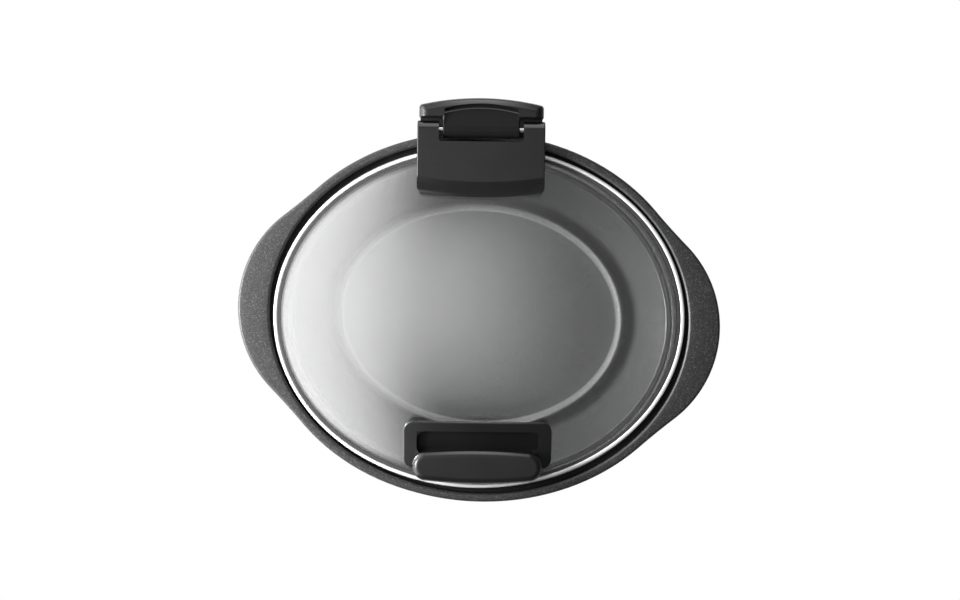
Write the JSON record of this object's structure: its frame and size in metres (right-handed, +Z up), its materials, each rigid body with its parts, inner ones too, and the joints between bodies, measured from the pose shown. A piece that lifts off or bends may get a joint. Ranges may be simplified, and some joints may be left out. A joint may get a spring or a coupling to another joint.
{
  "type": "slow cooker",
  "caption": "Oval slow cooker with a lift-out cast pot with side ears, a domed glass lid on a rear hinge, a front lid handle and a heated base with a rotary control.",
  "frame": {"origin": "centre of the whole object's box in plan, at the level of the worktop under the feet", "axes": "+Z up, front of the cooker (knob and lid handle) at -Y, hinge at +Y, +X to the right along the oval's length when seen from the front"},
  "size_m": [0.3996, 0.3412, 0.188],
  "materials": {
    "black_plastic": "moulded black plastic, satin",
    "gloss_black": "moulded black plastic, polished",
    "casing_paint": "steel sheet, satin black enamel",
    "aluminium_sheet": "pressed sheet",
    "heater_metal": "foil-faced band",
    "insulator": "heat-resistant moulding",
    "zinc_steel": "zinc-plated",
    "white_print": "white inlay",
    "board": "glass-fibre board",
    "amber_lens": "clear amber",
    "lead_white": "silicone-sleeved wire",
    "cast_nonstick": "cast body with a fine speckled dark non-stick coating",
    "stainless": "stainless",
    "silicone": "black silicone rubber",
    "polished_steel": "polished stainless",
    "lid_glass": "clear toughened glass"
  },
  "bodies": {
    "base": {"base_tray": "black_plastic", "foot_front_left": "silicone", "foot_front_right": "silicone", "foot_rear_left": "silicone", "foot_rear_right": "silicone", "tray_screws": "zinc_steel", "outer_casing": "casing_paint", "rim_collar": "black_plastic", "heating_well": "aluminium_sheet", "heater_band": "heater_metal", "heat_shield": "aluminium_sheet", "thermostat": "insulator", "thermal_fuse": "insulator", "tie_stud": "zinc_steel", "tie_nut": "zinc_steel", "control_panel": "gloss_black", "dial_marks": "white_print", "rotary_switch": "insulator", "control_board": "board", "board_screws": "zinc_steel", "indicator_lens": "amber_lens", "terminal_block": "insulator", "lead_supply": "lead_white", "lead_link": "lead_white", "lead_heater": "lead_white", "lead_return": "lead_white", "lead_switch": "lead_white", "cord_inlet": "black_plastic", "inlet_nut": "black_plastic", "hinge_tower": "gloss_black", "tower_screws": "zinc_steel"},
    "knob": {"control_knob": "gloss_black", "knob_pointer": "white_print", "switch_shaft": "zinc_steel"},
    "pot": {"cooking_pot": "cast_nonstick"},
    "hinge": {"hinge_block": "gloss_black", "hinge_pin": "stainless"},
    "lid": {"lid_plate": "gloss_black", "lid_pad": "silicone", "lid_clamp": "stainless", "clamp_screws": "stainless", "lid_glass": "lid_glass", "lid_rim": "polished_steel", "lid_seal": "silicone", "lid_handle": "gloss_black", "handle_washers": "silicone", "handle_screws": "stainless"}
  },
  "joints": [
    {"name": "pot_lift", "type": "slide", "parent": "base", "child": "pot", "axis": [0, 0, 1], "range_m": [0, 0.2]},
    {"name": "lid_lift", "type": "slide", "parent": "pot", "child": "hinge", "axis": [0, 0, 1], "range_m": [0, 0.12]},
    {"name": "lid_hinge", "type": "hinge", "parent": "hinge", "child": "lid", "pos_m": [0, 0.1446, 0.171], "axis": [-1, 0, 0], "range_deg": [0, 95]},
    {"name": "knob_turn", "type": "hinge", "parent": "base", "child": "knob", "pos_m": [0, -0.1643, 0.062], "axis": [0, 1, 0], "range_deg": [0, 135]}
  ]
}
